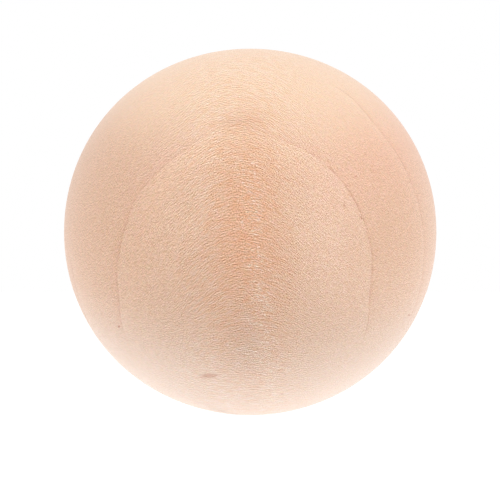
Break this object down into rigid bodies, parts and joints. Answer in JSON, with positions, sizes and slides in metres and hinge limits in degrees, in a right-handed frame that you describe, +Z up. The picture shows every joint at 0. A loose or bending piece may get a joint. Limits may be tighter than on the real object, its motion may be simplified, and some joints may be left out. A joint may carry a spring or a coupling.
{
  "type": "wooden ball",
  "caption": "Plain solid turned wooden ball with no hole and no flat, drawn in slightly across the grain by drying.",
  "frame": {"origin": "centre of the ball", "axes": "+X along the grain, the longest way across; +Y across the growth rings, from the bark side to the heart side; +Z up, along the growth rings, the shortest way across"},
  "size_m": [0.04, 0.0396, 0.0394],
  "materials": {
    "bare_wood": "pale pinkish hardwood, turned and sanded, left bare and satin"
  },
  "bodies": {
    "root": {"ball": "bare_wood"}
  },
  "joints": []
}
